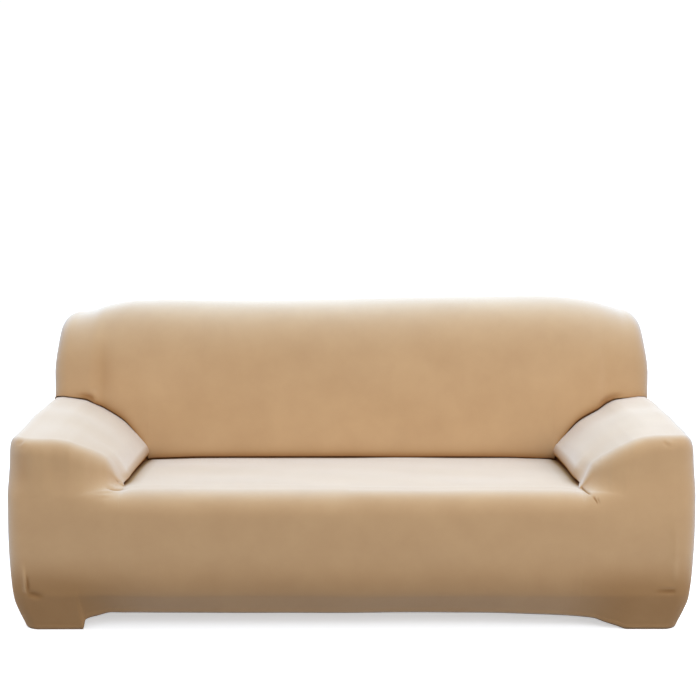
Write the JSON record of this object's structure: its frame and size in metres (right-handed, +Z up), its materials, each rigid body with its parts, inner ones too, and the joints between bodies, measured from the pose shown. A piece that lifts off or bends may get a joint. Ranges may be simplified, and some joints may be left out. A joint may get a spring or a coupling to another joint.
{
  "type": "stretch sofa slipcover",
  "caption": "Hollow fitted stretch cover for a wide sofa: rolled back top, soft sloping arms, a tuck behind the seat and an elastic hem that drops over the feet.",
  "frame": {"origin": "on the floor under the middle of the stretched cover", "axes": "+X to the right along the width as seen from the front, +Y to the rear, +Z up"},
  "size_m": [2.102, 0.894, 0.9365],
  "materials": {
    "stretch_knit": "matte"
  },
  "bodies": {
    "root": {"centre_panel": "stretch_knit", "arm_panel_left": "stretch_knit", "arm_panel_right": "stretch_knit"}
  },
  "joints": []
}
